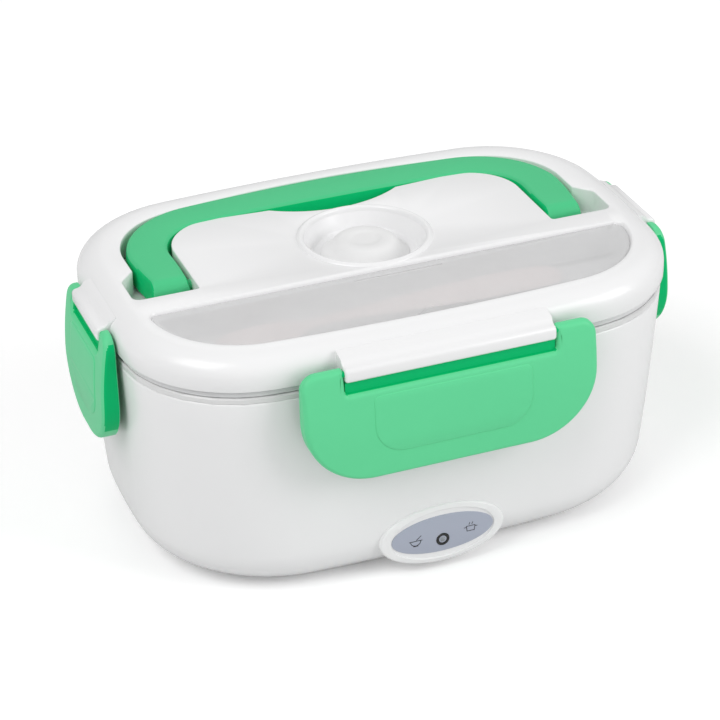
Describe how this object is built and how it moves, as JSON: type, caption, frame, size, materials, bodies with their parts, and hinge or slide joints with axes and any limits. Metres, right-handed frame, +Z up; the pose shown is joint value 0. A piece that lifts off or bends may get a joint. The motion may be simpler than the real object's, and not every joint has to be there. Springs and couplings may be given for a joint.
{
  "type": "electric lunch box",
  "caption": "Electric lunch box: heated tub with a lift-out tray, clip-down lid, folding handle, steam plug and a spoon bay in the lid.",
  "frame": {"origin": "on the table, under the middle of the box and midway between the four feet", "axes": "+X along the long side to the user's right, -Y towards the front with the indicator, +Z up"},
  "size_m": [0.2362, 0.16, 0.1088],
  "materials": {
    "shell_white": "glossy moulded",
    "liner_white": "smooth moulded",
    "clip_green": "semi-gloss moulded",
    "tray_clear": "smooth translucent",
    "cup_clear": "smooth translucent",
    "cup_lid_green": "smooth moulded",
    "cover_frost": "frosted translucent",
    "spoon_pink": "smooth moulded",
    "plug_silicone": "soft silicone",
    "gasket_silicone": "soft silicone",
    "foot_rubber": "matte rubber",
    "plate_metal": "brushed",
    "heater_metal": "extruded",
    "film_amber": "thin film",
    "steel": "zinc plated",
    "pin_metal": "polished",
    "socket_white": "matte moulded",
    "fuse_tan": "lacquered",
    "wire_brown": "insulation",
    "wire_blue": "insulation",
    "wire_red": "insulation",
    "board_green": "solder mask",
    "led_clear": "clear",
    "ring_black": "glossy",
    "panel_silver": "printed film"
  },
  "bodies": {
    "base": {"body_shell": "shell_white", "base_cover": "shell_white", "base_screws": "steel", "feet": "foot_rubber", "inner_liner": "liner_white", "heating_plate": "plate_metal", "ptc_heater": "heater_metal", "heater_film": "film_amber", "heater_clamp": "steel", "clamp_screws": "steel", "thermal_fuse": "fuse_tan", "power_inlet": "socket_white", "inlet_pins": "pin_metal", "live_wire": "wire_brown", "neutral_wire": "wire_blue", "fuse_wire": "wire_brown", "led_wires": "wire_red", "led_board": "board_green", "indicator_led": "led_clear", "lamp_ring": "ring_black", "indicator_panel": "panel_silver"},
    "tray": {"food_tray": "tray_clear"},
    "side_cup": {"side_cup": "cup_clear"},
    "cup_lid": {"cup_lid": "cup_lid_green"},
    "lid": {"lid": "shell_white", "lid_gasket": "gasket_silicone"},
    "vent_plug": {"vent_plug": "plug_silicone"},
    "spoon_cover": {"spoon_cover": "cover_frost"},
    "spoon": {"spoon": "spoon_pink"},
    "handle": {"handle": "clip_green"},
    "front_clip": {"front_clip": "clip_green"},
    "left_clip": {"left_clip": "clip_green"},
    "right_clip": {"right_clip": "clip_green"}
  },
  "joints": [
    {"name": "lid_lift", "type": "slide", "parent": "base", "child": "lid", "axis": [0, 0, 1], "range_m": [0, 0.16]},
    {"name": "tray_lift", "type": "slide", "parent": "base", "child": "tray", "axis": [0, 0, 1], "range_m": [0, 0.08]},
    {"name": "cup_lift", "type": "slide", "parent": "tray", "child": "side_cup", "axis": [0, 0, 1], "range_m": [0, 0.045]},
    {"name": "cup_lid_lift", "type": "slide", "parent": "side_cup", "child": "cup_lid", "axis": [0, 0, 1], "range_m": [0, 0.016]},
    {"name": "vent_lift", "type": "slide", "parent": "lid", "child": "vent_plug", "axis": [0, 0, 1], "range_m": [0, 0.0045]},
    {"name": "spoon_cover_lift", "type": "slide", "parent": "lid", "child": "spoon_cover", "axis": [0, 0, 1], "range_m": [0, 0.06]},
    {"name": "spoon_lift", "type": "slide", "parent": "lid", "child": "spoon", "axis": [0, 0, 1], "range_m": [0, 0.03]},
    {"name": "handle_swing", "type": "hinge", "parent": "lid", "child": "handle", "pos_m": [0, 0.001, 0.1036], "axis": [1, 0, 0], "range_deg": [0, 120]},
    {"name": "front_clip_swing", "type": "hinge", "parent": "lid", "child": "front_clip", "pos_m": [0, -0.0805, 0.1002], "axis": [-1, 0, 0], "range_deg": [0, 105]},
    {"name": "left_clip_swing", "type": "hinge", "parent": "lid", "child": "left_clip", "pos_m": [-0.1129, 0, 0.1002], "axis": [0, 1, 0], "range_deg": [0, 105]},
    {"name": "right_clip_swing", "type": "hinge", "parent": "lid", "child": "right_clip", "pos_m": [0.1129, 0, 0.1002], "axis": [0, -1, 0], "range_deg": [0, 105]}
  ],
  "couplings": [
    {"joint": "tray_lift", "follows": "lid_lift", "ratio": 0.5},
    {"joint": "cup_lift", "follows": "lid_lift", "ratio": 0.28},
    {"joint": "cup_lid_lift", "follows": "lid_lift", "ratio": 0.1},
    {"joint": "spoon_lift", "follows": "spoon_cover_lift", "ratio": 0.5}
  ]
}
